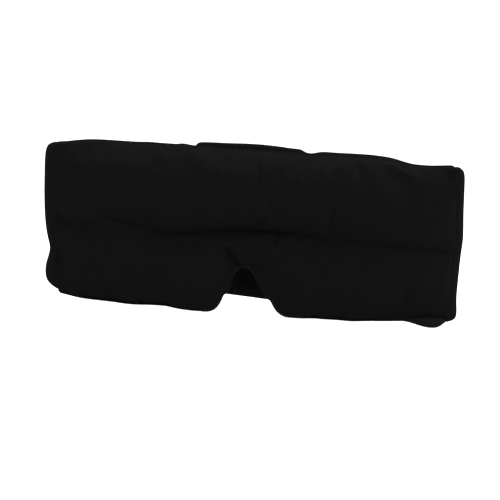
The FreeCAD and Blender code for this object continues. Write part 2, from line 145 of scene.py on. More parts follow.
def ring_angles(sides):
    return np.linspace(0, 2 * math.pi, sides, endpoint=False)


def distance_to_line(x, z, line):
    """Distance of each point from a polyline in X and Z."""
    best = np.full(np.shape(x), np.inf)
    for (ax, az), (bx, bz) in zip(line[:-1], line[1:]):
        dx, dz = bx - ax, bz - az
        t = np.clip(((x - ax) * dx + (z - az) * dz) / (dx * dx + dz * dz), 0, 1)
        best = np.minimum(best, np.hypot(x - ax - t * dx, z - az - t * dz))
    return best


# ---------------------------------------------------------------- how the loop's ends have slumped

# How far the outside of each end is pulled in towards the middle, by height. Below 0, it bulges.
LEFT_PULL = smooth(
    (0, 9), (4, 7.6), (7, 6.4), (8.7, 5.4), (10.5, 4.0), (13, 3.1), (16, 2.5), (19, 2.4), (22, 2.9),
    (25, 3.7), (27.5, 4.5), (29.7, 4.95), (31.5, 4.3), (33.5, 3.4), (36, 2.7), (39, 2.0), (42, 1.5),
    (45, 0.9), (48, 0.4), (51, 0.1), (57, -0.45), (63, -0.9), (70, -1.35), (79, -1.7), (86, -1.6),
    (92, -0.9),
)
RIGHT_PULL = smooth(
    (0, -2.2), (6, -2.7), (10, -2.3), (13, -2), (16, -1.6), (22, -1.4), (37, -1.7), (43, -2.1), (47, -2.5),
    (52, -2.6), (58, -2.2), (70, -1.7), (82, -1.2), (92, -0.9),
)
PULL_REACH = 46.0  # the pull fades out over this length of the loop


def settle(points):
    """Points of the nominal form, moved to where the slumped fabric lies."""
    points = np.array(points, float)
    x, z = points[..., 0].copy(), points[..., 2]
    share = ease((np.abs(x) - (SEAM_X - PULL_REACH)) / PULL_REACH)
    points[..., 0] += np.where(x < 0, LEFT_PULL(z), -RIGHT_PULL(z)) * share
    return points


# ---------------------------------------------------------------- meshes


def add_object(name, data):
    made = bpy.data.objects.new(name, data)
    bpy.context.scene.collection.objects.link(made)
    return made


def make_mesh(name, points, faces, material, uvs=None):
    """An object from points in millimetres. uvs, one per point, are in millimetres of cloth."""
    mesh = bpy.data.meshes.new(name)
    mesh.from_pydata((np.array(points, float) * MM).tolist(), [], [list(f) for f in faces])
    mesh.validate()
    if uvs is not None:
        layer = mesh.uv_layers.new(name="cloth")
        corners = np.zeros(len(mesh.loops), int)
        mesh.loops.foreach_get("vertex_index", corners)
        layer.data.foreach_set("uv", np.array(uvs, float)[corners].ravel())
    mesh.shade_smooth()
    mesh.materials.append(material)
    work = bmesh.new()
    work.from_mesh(mesh)
    bmesh.ops.recalc_face_normals(work, faces=work.faces)
    work.to_mesh(mesh)
    work.free()
    return add_object(name, mesh)


def subdivide(obj):
    """Rounds a mesh off with one level of subdivision, baked into it."""
    modifier = obj.modifiers.new("subsurf", "SUBSURF")
    modifier.levels = modifier.render_levels = 1
    depsgraph = bpy.context.evaluated_depsgraph_get()
    mesh = bpy.data.meshes.new_from_object(obj.evaluated_get(depsgraph))
    obj.modifiers.clear()
    old = obj.data
    obj.data = mesh
    bpy.data.meshes.remove(old)
    obj.data.shade_smooth()
    return obj


def mesh_points(mesh):
    flat = np.zeros(len(mesh.vertices) * 3)
    mesh.vertices.foreach_get("co", flat)
    return flat.reshape(-1, 3)


def coordinates(obj):
    """A mesh's points in millimetres."""
    return mesh_points(obj.data) / MM


def set_coordinates(obj, points):
    obj.data.vertices.foreach_set("co", (np.array(points) * MM).ravel())
    obj.data.update()


def grid_faces(rows, columns, start=0, wrap=False):
    """Quads of a grid of points stored row by row. wrap joins the last column to the first."""
    faces = []
    for row in range(start, start + (rows - 1) * columns, columns):
        for c in range(columns if wrap else columns - 1):
            n = (c + 1) % columns
            faces.append((row + c, row + n, row + columns + n, row + columns + c))
    return faces


def capped_faces(rows, sides, start=0):
    """Faces of a tube made of rings of points, with a flat face at each end."""
    last = start + (rows - 1) * sides
    ends = [tuple(range(start + sides - 1, start - 1, -1)), tuple(range(last, last + sides))]
    return grid_faces(rows, sides, start, wrap=True) + ends


def rim_of_grid(rows, columns):
    """Indices of a grid's outer points, in order round it."""
    loop = list(range(columns))
    loop += [r * columns + columns - 1 for r in range(1, rows)]
    loop += [(rows - 1) * columns + c for c in range(columns - 2, -1, -1)]
    return loop + [r * columns for r in range(rows - 2, 0, -1)]


def closed_sheet(name, layers, shape, material, cloth):
    """A sheet from two layers of grid points, joined round their rims. Both share one cloth map."""
    rows, columns = shape
    count = rows * columns
    faces = grid_faces(rows, columns)
    faces += [tuple(reversed(f)) for f in grid_faces(rows, columns, start=count)]
    loop = rim_of_grid(rows, columns)
    for point, following in zip(loop, loop[1:] + loop[:1]):
        faces.append((point, following, count + following, count + point))
    return make_mesh(name, np.vstack(layers), faces, material, np.vstack([cloth, cloth]))


def seam_tube(name, path, radii):
    """A round roll of seam fabric with domed ends, along a path and with a radius at each point."""
    sides = 10
    along = unit(np.gradient(path, axis=0))
    up = np.array([0.0, 0.0, 1.0]) if abs(along[0][2]) < 0.9 else np.array([0.0, 1.0, 0.0])
    across = unit(np.cross(along, up))
    other = np.cross(along, across)
    angle = ring_angles(sides)[None, :, None]
    ring = np.cos(angle) * across[:, None, :] + np.sin(angle) * other[:, None, :]
    points = (path[:, None, :] + ring * radii[:, None, None]).reshape(-1, 3)
    faces = grid_faces(len(path), sides, wrap=True)
    first, last = len(points), len(points) + 1
    ends = np.array([path[0] - along[0] * radii[0] * 0.6, path[-1] + along[-1] * radii[-1] * 0.6])
    base = (len(path) - 1) * sides
    faces += [(first, (c + 1) % sides, c) for c in range(sides)]
    faces += [(last, base + c, base + (c + 1) % sides) for c in range(sides)]
    travelled = path_lengths(path)
    around = ring_angles(sides) * np.mean(radii)
    uvs = np.column_stack([np.repeat(travelled, sides), np.tile(around, len(path))])
    uvs = np.vstack([uvs, [[0, 0], [travelled[-1], 0]]])
    return make_mesh(name, np.vstack([points, ends]), faces, SEAM, uvs)


def resample(path, pitch):
    """Points every pitch mm along a polyline, and the direction of travel at each."""
    travelled = path_lengths(path)
    count = int(travelled[-1] // pitch)
    at = (np.arange(count) + 0.5) * travelled[-1] / count
    here, ahead, behind = [
        np.column_stack([np.interp(at + shift, travelled, path[:, k]) for k in range(3)])
        for shift in (0, 0.3, -0.3)
    ]
    return here, unit(ahead - behind)


STITCH_PITCH, STITCH_LENGTH, THREAD_RADIUS = 2.7, 2.0, 0.24
# One stitch: place along it, lift off the cloth, and thickness.
STITCH_SHAPE = ((-0.5, -0.9, 0.5), (-0.36, 0.3, 0.9), (0, 0.6, 1), (0.36, 0.3, 0.9), (0.5, -0.9, 0.5))


def stitches(name, path, outward, pitch=STITCH_PITCH, length=STITCH_LENGTH, radius=THREAD_RADIUS):
    """A row of thread stitches on a path that lies on cloth. outward is the way the cloth faces."""
    centres, along = resample(path, pitch)
    outward = np.array(outward, float)
    across = unit(np.cross(along, outward))
    sides = 6
    angle = ring_angles(sides)[:, None]
    points, faces = [], []
    for centre, forward, sideways in zip(centres, along, across):
        faces += capped_faces(len(STITCH_SHAPE), sides, start=len(points) * sides)
        ring = np.cos(angle) * sideways + np.sin(angle) * outward
        for place, lift, thick in STITCH_SHAPE:
            middle = centre + forward * place * length + outward * lift * radius
            points.append(middle + ring * radius * thick)
    return make_mesh(name, np.vstack(points), faces, THREAD)


def surface_of(obj):
    """A function giving where a mesh's surface is, looking along Y from the front or the back."""
    tree = BVHTree.FromPolygons(coordinates(obj).tolist(), [tuple(p.vertices) for p in obj.data.polygons])

    def depth(x, z, from_back, otherwise):
        way = -1 if from_back else 1
        hit = tree.ray_cast(Vector((x, -200 * way, z)), Vector((0, way, 0)))[0]
        return otherwise if hit is None else hit.y

    return depth


def on_surface(path, obj, from_back, otherwise, lift):
    """A path in X and Z laid on a mesh's surface."""
    depth = surface_of(obj)
    return np.array([(x, depth(x, z, from_back, otherwise) + lift, z) for x, z in path])


# ---------------------------------------------------------------- materials


def set_sockets(node, values):
    for socket, value in values.items():
        node.inputs[socket].default_value = value


def add_node(tree, kind, **settings):
    """A node, with its inputs and its own settings given by name."""
    node = tree.nodes.new(kind)
    for key, setting in settings.items():
        if key in node.inputs:
            node.inputs[key].default_value = setting
        else:
            setattr(node, key, setting)
    return node


def noise_texture(tree, where, **settings):
    texture = add_node(tree, "ShaderNodeTexNoise", **settings)
    tree.links.new(where, texture.inputs["Vector"])
    return texture.outputs["Fac"]


def new_material(name, base, roughness, spread, patch_scale, sheen=0.0, specular=0.0):
    """A material whose base colour varies a little in soft patches, as dyed cloth does."""
    material = bpy.data.materials.new(name)
    material.use_nodes = True
    tree = material.node_tree
    shader = tree.nodes["Principled BSDF"]
    set_sockets(shader, {"Roughness": roughness, "Specular IOR Level": specular})
    set_sockets(shader, {"Sheen Weight": sheen, "Sheen Roughness": 0.5, "Base Color": (*base, 1)})
    where = add_node(tree, "ShaderNodeTexCoord").outputs["Object"]
    patches = noise_texture(tree, where, Scale=patch_scale, Detail=6.0, Roughness=0.65)
    ramp = add_node(tree, "ShaderNodeValToRGB")
    for element, place, share in zip(ramp.color_ramp.elements, (0.3, 0.75), (1 - spread, 1 + spread)):
        element.position = place
        element.color = (*[c * share for c in base], 1)
    tree.links.new(patches, ramp.inputs["Fac"])
    tree.links.new(ramp.outputs["Color"], shader.inputs["Base Color"])
    return material, tree, where


def bump(tree, height, strength, distance_mm, under=None):
    node = add_node(tree, "ShaderNodeBump", Strength=strength, Distance=distance_mm * MM)
    tree.links.new(height, node.inputs["Height"])
    if under is not None:
        tree.links.new(under, node.inputs["Normal"])
    tree.links.new(node.outputs["Normal"], tree.nodes["Principled BSDF"].inputs["Normal"])
    return node.outputs["Normal"]


WAVE_PERIOD = math.pi / 10  # a wave texture of scale 1 repeats after this much of its vector


def thread_bump(tree, period_mm, shares, distortion, strength, distance_mm):
    """Fine waves along and across the cloth, added in the given shares."""
    cloth = add_node(tree, "ShaderNodeUVMap", uv_map="cloth")
    scaled = add_node(tree, "ShaderNodeMapping")
    set_sockets(scaled, {"Scale": (WAVE_PERIOD / period_mm[0], WAVE_PERIOD / period_mm[1], 1)})
    tree.links.new(cloth.outputs["UV"], scaled.inputs["Vector"])
    total = None
    for direction, share, bend in zip("XY", shares, (0.0, distortion)):
        waves = add_node(tree, "ShaderNodeTexWave", Scale=1.0, Distortion=bend, bands_direction=direction)
        set_sockets(waves, {"Detail Scale": 1.5})
        tree.links.new(scaled.outputs["Vector"], waves.inputs["Vector"])
        weigh = add_node(tree, "ShaderNodeMath", operation="MULTIPLY_ADD" if total else "MULTIPLY")
        tree.links.new(waves.outputs["Fac"], weigh.inputs[0])
        weigh.inputs[1].default_value = share
        if total:
            tree.links.new(total, weigh.inputs[2])
        total = weigh.outputs["Value"]
    return bump(tree, total, strength, distance_mm)


def knit_material(name, base, wale_mm, course_mm, sheen=0.006):
    """Jersey: columns of stitches along the cloth, rows across it, and fine fuzz."""
    material, tree, where = new_material(name, base, 0.92, spread=0.07, patch_scale=160.0, sheen=sheen)
    knit = thread_bump(tree, (wale_mm, course_mm), (0.65, 0.35), 0.6, 0.5, 0.14)
    bump(tree, noise_texture(tree, where, Scale=2600.0, Detail=3.0, Roughness=0.7), 0.35, 0.12, under=knit)
    return material


def ribbed_material(name, base, rib_mm, sheen=0.006, roughness=0.7):
    """Woven tape or ribbon with ribs across it, and a little lint."""
    material, tree, where = new_material(name, base, roughness, spread=0.14, patch_scale=220.0, sheen=sheen)
    woven = thread_bump(tree, (rib_mm, rib_mm * 0.55), (0.8, 0.2), 0.4, 0.6, 0.18)
    bump(tree, noise_texture(tree, where, Scale=1800.0, Detail=2.0), 0.25, 0.08, under=woven)
    return material


def fibre_material(name, base, roughness=0.85, sheen=0.01, scale=900.0):
    """Felted or brushed fibre, with no direction."""
    material, tree, where = new_material(name, base, roughness, spread=0.22, patch_scale=420.0, sheen=sheen)
    bump(tree, noise_texture(tree, where, Scale=scale, Detail=5.0, Roughness=0.75, Distortion=0.8), 0.6, 0.25)
    return material


def moulded_material(name, base):
    """Extruded nylon of the hook tape: satin, with faint flow marks."""
    material, tree, where = new_material(name, base, 0.42, spread=0.1, patch_scale=300.0, specular=0.06)
    bump(tree, noise_texture(tree, where, Scale=1300.0, Detail=2.0), 0.15, 0.05)
    return material


JERSEY = knit_material("black_jersey", (0.0035, 0.0035, 0.0037), wale_mm=0.62, course_mm=0.5)
# The rolled hems are the cover jersey made lighter: painted light, to make up for the shade they sit in under
# the padded panel.
PAINTED_LIGHT_HEM_JERSEY = knit_material("hem_jersey_painted_light", (0.005, 0.005, 0.0053), wale_mm=0.62, course_mm=0.5)
LINING = knit_material("lining_jersey", (0.004, 0.004, 0.0043), wale_mm=0.5, course_mm=0.42, sheen=0.008)
BINDING = ribbed_material("binding_tape", (0.0046, 0.0046, 0.0049), rib_mm=0.55)
SEAM = ribbed_material("seam_roll_jersey", (0.004, 0.004, 0.0042), rib_mm=0.7)
RIBBON = ribbed_material("grosgrain_ribbon", (0.0045, 0.0045, 0.0048), rib_mm=0.9, roughness=0.6)
LABEL = ribbed_material("label_satin", (0.008, 0.008, 0.0085), rib_mm=0.35, roughness=0.5)
THREAD = fibre_material("sewing_thread", (0.007, 0.007, 0.0074), roughness=0.6, scale=2400.0)
LOOP_PILE = fibre_material("loop_pile", (0.0045, 0.0045, 0.0048), sheen=0.03)
HOOKS = moulded_material("hook_nylon", (0.005, 0.005, 0.0054))


# ---------------------------------------------------------------- front panel

EDGE_ROUND = 0.9  # how far the rounded edge stands out of the panel's outline
TOP_LINE = smooth(
    (-113, 88.8), (-106, 89.5), (-100, 90.6), (-94, 91.4), (-88, 91.7), (-70, 91.9), (-58, 92.2),
    (-46, 92.2), (-41.5, 92.7), (-36, 92.1), (-20, 92.0), (29, 91.9), (50, 92.4), (64, 92.4), (76, 91.7),
    (84, 90.6), (92, 90.0), (97, 90.0), (104, 90.4), (109, 90.8), (113, 90.7),
)
BOTTOM_LINE = smooth(
    (-113, 5.5), (-109, 4.8), (-106, 4.2), (-100, 3.4), (-94, 3.1), (-88, 2.9), (-82, 2.7), (-76, 2.5),
    (-70, 2.05), (-64, 1.8), (-58, 2.05), (-52, 2.3), (-46, 2.3), (-40, 1.4), (-34, 0.85), (-28, 0.65),
    (-22.2, 0.75), (-19.0, 1.6), (-16.7, 3.6), (-14.8, 7.0), (-13.4, 12.0), (-12.2, 16.0), (-10.0, 21.0),
    (-7.6, 24.2), (-5, 26.2), (-3, 26.8), (-1, 26.5), (1.4, 25.4), (3.6, 23.4), (9, 17.4), (12.3, 12.9),
    (14.6, 8.5), (17.2, 4.4), (19.8, 2.1), (23.0, 0.8), (29, 0.4), (32, 0.55), (36, 0.85), (40, 1.05),
    (44, 0.95), (52, 1.05), (60, 0.9), (64, 1.2), (68, 1.55), (72, 1.85), (76, 2.1), (80, 2.4), (84, 2.75),
    (89, 3.2), (95, 3.4), (104, 3.5), (113, 4.6),
)
CREASE_LINE = smooth(
    (-113, 52), (-95, 51.2), (-82.6, 49.9), (-65, 46.4), (-44.3, 43.2), (-25.3, 45.6), (-5, 47.3),
    (15.2, 48.1), (39.4, 46.6), (75, 45.1), (104, 43.7), (113, 43.4),
)
CREASE_STRENGTH = smooth(
    (-113, 0.0), (-94, 0.06), (-82, 0.3), (-62, 0.46), (-42, 0.66), (-15, 0.74), (18, 0.68), (45, 0.5),
    (80, 0.38), (104, 0.26), (113, 0.08),
)
CREASE_REACH = 11.0  # half width of the valley along the crease
EDGE_REACH = 21.0  # the padding is full this far from the edge
END_REACH = 46.0  # the front surface curves back towards the sides over this length
EDGE_FRONT = FACE_Y - 5.6  # the front panel's front surface where it meets its edges
PUFF = EDGE_FRONT - CROWN_Y - 0.5  # how far the padding stands out past the edges
APEX = (-3, 26.8)  # the top of the nose notch

# Small folds: line in X and Z, depth, and half width.
FOLDS = [
    ([(-112, 47.4), (-95, 43.8), (-80, 42.4)], 2.6, 2.4),
    ([APEX, (-5, 28.6), (-8.6, 31.7), (-11.8, 34.4), (-13.2, 36.6)], 5.2, 2.0),
    ([(66, 92), (71, 88.4), (82.5, 80.5)], 1.6, 5.0),
    ([(-113.5, 26.6), (-110, 23.2), (-106.4, 19.6)], 4.6, 2.4),
    ([(-60, 92), (-57, 84), (-59, 76)], 0.3, 9.0),
    ([(40, 3), (43, 12), (49, 18)], 0.6, 6.0),
    ([(-45, 3), (-47, 12), (-52, 20)], 0.6, 6.0),
    ([(90, 4), (86, 14), (88, 24)], 0.8, 6.0),
    ([(15, 48), (30, 54), (44, 56)], 0.5, 5.0),
    ([(-44, 43), (-56, 37), (-66, 34)], 0.5, 5.0),
]


def panel_columns():
    """Positions along X, closest together at the notch and at the ends."""
    half = [0.6]
    while half[-1] < SEAM_X - 6:
        half.append(half[-1] + 1.15 + 1.25 * float(ease((half[-1] - 18) / 50)))
    half = np.array(half) * (SEAM_X - 5.2) / half[-1]
    half = np.concatenate([half, SEAM_X - np.array([3.2, 1.8, 0.8, 0])])
    return np.concatenate([-half[::-1], half])


def cosine_steps(count):
    """From 0 to 1, close together at both ends."""
    return (1 - np.cos(np.linspace(0, math.pi, count))) / 2


ROWS_BELOW, ROWS_ABOVE = 28, 28  # rows of points below and above the crease


def panel_grid():
    """Nominal X and Z of the front panel's points, row by row from the bottom edge to the top."""
    x = panel_columns()
    low, crease, high = BOTTOM_LINE(x), CREASE_LINE(x), TOP_LINE(x)
    below = low + (crease - low) * cosine_steps(ROWS_BELOW)[:, None]
    above = crease + (high - crease) * cosine_steps(ROWS_ABOVE)[1:, None]
    z = np.vstack([below, above])
    return np.broadcast_to(x, z.shape), z


def panel_outline(half_width=SEAM_X, inset=0.0, count=300):
    """The front panel's outline, or one that lies inside it, as a closed polyline."""
    x = np.linspace(-half_width, half_width, count)
    bottom = np.column_stack([x, BOTTOM_LINE(x) + inset])
    top = np.column_stack([x[::-1], TOP_LINE(x[::-1]) - inset])
    return np.vstack([bottom, top, bottom[:1]])


def distance_to_curve(x, z, curve, count=300):
    across = np.linspace(-SEAM_X, SEAM_X, count)
    return distance_to_line(x, z, np.column_stack([across, curve(across)]))


def panel_front(x, z):
    """Depth of the front surface: two padded rolls, the crease between them, and small folds."""
    fuller = 2.4 * ease((x - 80) / 14)  # the edge above the rolled hem's thick part
    edge = np.minimum(distance_to_curve(x, z, BOTTOM_LINE) + fuller, distance_to_curve(x, z, TOP_LINE))
    from_end = SEAM_X - np.abs(x)
    ends = 1 - (1 - np.clip(from_end / END_REACH, 0, 1)) ** 2
    valley = (1 - np.clip(distance_to_curve(x, z, CREASE_LINE, 120) / CREASE_REACH, 0, 1)) ** 2.2
    rise = dome(edge / EDGE_REACH) * ends * (1 - CREASE_STRENGTH(x) * valley)
    depth = EDGE_FRONT - PUFF * rise - 0.9 * ease(1 - from_end / 6)
    for line, fold_depth, half_width in FOLDS:
        near = distance_to_line(x, z, line) / half_width
        depth = depth + fold_depth * np.exp(-near * near * 2) * np.clip(rise * 3 + 0.2, 0, 1)
    return depth


DEEP_FOLD = 1.5  # folds deeper than this are held still while the cloth settles
SAG = smooth((-113, 0.1), (-70, 0.5), (-40, 1.2), (20, 1.2), (60, 0.6), (113, 0.1))


def sag_over_crease(x, z):
    """How far the brow roll hangs down over the crease."""
    above = z - CREASE_LINE(x)
    return SAG(x) * np.where(above > 0, np.exp(-(((above - 5) / 5) ** 2)), 0) * ease(above / 2.5)


def relax_front(obj, pinned, cap_mm):
    """Lets the cloth find its own small folds under pressure from the padding."""
    scale = 10.0  # the solver is steadier on a larger piece
    before = coordinates(obj)
    set_coordinates(obj, before * scale)
    group = obj.vertex_groups.new(name="pinned")
    for index, weight in enumerate(pinned):
        group.add([index], float(weight), "REPLACE")
    cloth = obj.modifiers.new("cloth", "CLOTH")
    values = {
        "quality": 6, "mass": 0.3, "tension_stiffness": 12, "compression_stiffness": 12, "shear_stiffness": 4,
        "bending_stiffness": 0.35, "vertex_group_mass": "pinned", "shrink_min": -0.035, "use_pressure": True,
        "uniform_pressure_force": 1.6,
    }
    for key, value in values.items():
        setattr(cloth.settings, key, value)
    cloth.settings.effector_weights.gravity = 0
    scene = bpy.context.scene
    for number in range(1, 19):
        scene.frame_set(number)
    settled = obj.evaluated_get(bpy.context.evaluated_depsgraph_get())
    moved = mesh_points(settled.to_mesh()) / (MM * scale) - before
    settled.to_mesh_clear()
    obj.modifiers.clear()
    obj.vertex_groups.clear()
    scene.frame_set(1)
    length = np.linalg.norm(moved, axis=1)[:, None]
    moved *= np.minimum(1, cap_mm / np.maximum(length, 1e-9))
    set_coordinates(obj, before + moved)


def build_front_panel():
    """Closed padded form: front skin, rounded edge all round, and a nearly flat back."""
    x, z = panel_grid()
    rows, columns = x.shape
    y = panel_front(x, z)
    climb = np.cumsum(np.hypot(np.diff(y, axis=0), np.diff(z, axis=0)), axis=0)
    cloth = np.column_stack([x.ravel(), np.vstack([np.zeros(columns), climb]).ravel()])
    front = as_points(x, y, z - sag_over_crease(x, z))
    skin = make_mesh("front_skin", front, grid_faces(rows, columns), JERSEY)
    pinned = np.zeros(x.shape)
    pinned[ROWS_BELOW - 1] = CREASE_STRENGTH(x[0]) * 1.4
    for line, fold_depth, half_width in FOLDS:
        if fold_depth > DEEP_FOLD:
            near = distance_to_line(x, z, line) / half_width
            pinned = np.maximum(pinned, np.exp(-(near ** 2)))
    pinned[[0, -1]] = 1
    pinned[:, [0, -1]] = 1
    relax_front(skin, np.clip(pinned, 0, 1).ravel(), cap_mm=2.6)
    front = coordinates(skin)
    bpy.data.objects.remove(skin)
    front[:, 1] += 0.28 * wander(front, 17, 3) + 0.12 * wander(front, 6, 9)

    # The back, with the same layout, and three rings between the two along the rounded edge.
    rise = dome(distance_to_line(x, z, panel_outline()) / 6)
    back = as_points(x, FACE_Y - 1.7 + 0.5 * rise, z)
    loop = rim_of_grid(rows, columns)
    rim = front[loop]
    along = np.roll(rim, -1, axis=0) - np.roll(rim, 1, axis=0)
    outward = unit(as_points(along[:, 2], 0.0, -along[:, 0]))
    middle_y = (EDGE_FRONT + FACE_Y - 1.2) / 2
    rings = []
    for share, ring_y in ((0.72, EDGE_FRONT + 1.1), (1, middle_y), (0.72, FACE_Y - 2.4)):
        ring = rim + outward * EDGE_ROUND * share
        ring[:, 1] = ring_y
        rings.append(ring)
    count, size = rows * columns, len(loop)
    faces = grid_faces(rows, columns)
    faces += [tuple(reversed(f)) for f in grid_faces(rows, columns, start=count)]
    steps = [loop]
    steps += [list(range(2 * count + k * size, 2 * count + (k + 1) * size)) for k in range(3)]
    steps += [[count + k for k in loop]]
    for k in range(size):
        n = (k + 1) % size
        faces += [(a[n], a[k], b[k], b[n]) for a, b in zip(steps[:-1], steps[1:])]
    uvs = np.vstack([cloth, cloth, cloth[loop], cloth[loop] + 2, cloth[loop] + 4])
    return subdivide(make_mesh("front_panel_cover", np.vstack([front, back, *rings]), faces, JERSEY, uvs))


NOTCH_PITCH = 1.15  # between points along the notch's edge


def notch_path():
    """The notch's edge from one foot to the other, evenly spaced, and the way into the cloth."""
    x = np.linspace(-25.5, 26.5, 400)
    points, along = resample(as_points(x, 0.0, BOTTOM_LINE(x)), NOTCH_PITCH)
    return points, as_points(-along[:, 2], 0.0, along[:, 0])


BINDING_WIDTH = 1.5  # of each flange of the tape, on the front and on the back
# How far the tape's turned edge stands out into the notch, by height.
FLANK = smooth(
    (0, 0.9), (8.6, 1.0), (9.8, 1.6), (10.8, 3.0), (11.6, 3.5), (14, 3.4), (17, 3.0), (20, 2.3),
    (22.5, 1.6), (25, 0.8), (27, 0.5),
)


def build_notch_binding(depth):
    """Tape folded over the notch's raw edge, with its two flanges on the front and the back."""
    points, inward = notch_path()
    flange = np.array([1, 0.9, 0.7, 0.35, 0.05]) * BINDING_WIDTH
    lift = (0.05, 0.35, 0.42, 0.42, 0.4)
    rows = []
    for point, into in zip(points, inward):
        outer, inner = [], []
        for from_back in (False, True):
            face = FACE_Y - 1.4 if from_back else EDGE_FRONT
            way = 1 if from_back else -1
            side = []
            for reach, rise in zip(flange, lift):
                x, z = point[0] + into[0] * reach, point[2] + into[2] * reach
                cloth = depth(x, z, from_back, face)
                side.append(((x, cloth + way * rise, z), (x, cloth - way * 0.35, z)))
            if from_back:
                side.reverse()
            outer += [pair[0] for pair in side]
            inner += [pair[1] for pair in side]
            if not from_back:
                flank = float(FLANK(point[2] - (1.1 if point[0] < 0 else 0.0)))
                set_back = 2.6 * math.exp(-(((point[2] - 27) / 4) ** 2))
                for share, y in ((0.35, 0.7), (0.8, 2.3), (1.0, 3.4), (0.8, 4.3)):
                    out = max(flank * share, 0.9)
                    out_y = face + y + set_back * (1 - share)
                    for layer, reach in ((outer, out), (inner, out - 0.7)):
                        layer.append((point[0] - into[0] * reach, out_y, point[2] - into[2] * reach))
        rows.append(outer + inner[::-1])
    count, width = len(rows), len(rows[0])
    faces = grid_faces(count, width, wrap=True)
    for base in (0, (count - 1) * width):
        far = base + width - 1
        faces += [(base + k, base + k + 1, far - 1 - k, far - k) for k in range(width // 2 - 1)]
    along, across = np.arange(count) * NOTCH_PITCH, np.arange(width) * 0.7
    uvs = np.column_stack([np.repeat(along, width), np.tile(across, count)])
    return subdivide(make_mesh("notch_binding_tape", np.vstack(rows), faces, BINDING, uvs))


LINING_HALF_WIDTH, LINING_INSET = 109, 2.2


def build_face_lining():
    """Thin sheet on the wearer's side, its edges turned under and its middle faintly quilted."""
    x = panel_columns() * LINING_HALF_WIDTH / SEAM_X
    low, high = BOTTOM_LINE(x) + LINING_INSET, TOP_LINE(x) - LINING_INSET
    z = low + (high - low) * cosine_steps(30)[:, None]
    x = np.broadcast_to(x, z.shape)
    edge = distance_to_line(x, z, panel_outline(LINING_HALF_WIDTH, LINING_INSET, 240))
    quilt = 0.22 * wander(as_points(x, 0.0, z), 16, 51).reshape(x.shape)
    low_y = FACE_Y - 1.75 + 0.5 * dome(edge / 6)
    high_y = low_y + 0.25 + (0.85 + quilt) * dome(edge / 2.2)
    layers = [as_points(x, y, z) for y in (high_y, low_y)]
    return subdivide(closed_sheet("face_lining_cloth", layers, x.shape, LINING, layers[0][:, [0, 2]]))


# How far the rolled hems hang below the panel's bottom line, by distance from the middle.
HEM_DROP = {
    -1: smooth((24, 0.5), (80, 0.6), (100, 0.4)),
    1: smooth(
        (24, 0.4), (80, 0.5), (88, 0.55), (91.5, 1.1), (96, 2.3), (100, 3.15), (103, 3.4), (106.4, 3.2),
        (109.6, 1.5), (111.3, 0.2),
    ),
}
HEM_SWELL = smooth((24, 0), (84, 0), (90, 0.5), (96, 0.9), (101, 1.0), (106, 0.9), (111.3, 0.2))


HEM_END = {-1: 99.8, 1: 111.3}


def build_hem(side):
    """The bottom seam allowance rolled under the panel, thicker beside the right fold."""
    end = HEM_END[side]
    x = np.concatenate([[25.2, 25.6, 26.4], np.linspace(28, end - 3, 56), [end - 1.6, end - 0.6, end]])
    angle = ring_angles(16)
    lobe = np.sign(np.sin(angle)) * np.abs(np.sin(angle)) ** 0.8
    rings = []
    for here in x:
        swell = float(HEM_SWELL(here)) if side > 0 else 0.0
        taper = float(dome(min(here - x[0] + 0.25, x[-1] - here + 0.25) / 3))
        line = float(BOTTOM_LINE(side * here))
        base = line - float(HEM_DROP[side](here)) + 0.12 * ripple(here / 6.0, side * 3.0, 0)
        top = line + 0.6 + 2.0 * swell
        centre_y = FACE_Y - 4.2 - 4.4 * swell + 0.3 * ripple(here / 14.0, side * 5.0, 1)
        y = centre_y + (3.4 + 1.2 * swell) * taper * np.cos(angle)
        rings.append(as_points(side * here, y, (base + top) / 2 + (top - base) / 2 * taper * lobe))
    uvs = np.column_stack([np.repeat(x, len(angle)), np.tile(angle * 2.6, len(x))])
    faces = capped_faces(len(x), len(angle))
    # The hem's lighter jersey is painted light against its shade under the panel.
    return subdivide(make_mesh(f"{SIDE_NAME[side]}_hem_roll", np.vstack(rings), faces, PAINTED_LIGHT_HEM_JERSEY, uvs))


def build_top_seam():
    """A narrow rolled seam along the panel's top edge."""
    x = np.linspace(-110.5, 110.5, 150)
    wobble = np.array([ripple(a / 9.0, 7.7, 0) for a in x])
    path = as_points(x, FACE_Y - 3.4 + 0.25 * wobble, TOP_LINE(x) + 0.55 + 0.12 * wobble)
    return seam_tube("top_seam_roll", path, 0.95 * dome((112 - np.abs(x)) / 3))


# ---------------------------------------------------------------- side panels and rear bands

# Each half of the loop is one strap, measured along its middle from the start of the front corner.
SEAM_ANGLE = math.asin((SEAM_X - CORNER_X) / CORNER_OUTER)  # of the front seam, round that corner
MID_RADIUS = (CORNER_OUTER + CORNER_INNER) / 2
SEAM_PRESS = 0.6  # how far the two paddings press into each other at the side seam


def rear_corner_y(side):
    return BAND_BACK[side] - CORNER_OUTER


def strap_lengths(side):
    """Lengths along the strap's middle: start of the side's flat, side seam, rear corner, band."""
    quarter = MID_RADIUS * math.pi / 2
    flat = rear_corner_y(side) - FRONT_CORNER_Y
    return quarter, quarter + flat / 2, quarter + flat, 2 * quarter + flat


def strap_place(side, s):
    """Plan position of the strap's middle and its outward direction, s mm along the strap."""
    quarter, _, rear_start, band_start = strap_lengths(side)
    angle = (np.clip(s, 0, quarter) + np.clip(s - rear_start, 0, quarter)) / MID_RADIUS
    out_x, out_y = np.sin(angle), -np.cos(angle)
    centre_y = FRONT_CORNER_Y + np.clip(s - quarter, 0, rear_start - quarter)
    x = CORNER_X + MID_RADIUS * out_x - np.clip(s - band_start, 0, None)
    return side * x, centre_y + MID_RADIUS * out_y, side * out_x, out_y


def band_at(side, x):
    """How far along the strap the rear band reaches X."""
    return strap_lengths(side)[3] + CORNER_X - side * x


def strap_edge(side, round_side, along_band):
    """Height along the strap, from (distance, height) up to the band and (X, height) along it."""
    return smooth(*round_side, *[(band_at(side, x), z) for x, z in along_band])


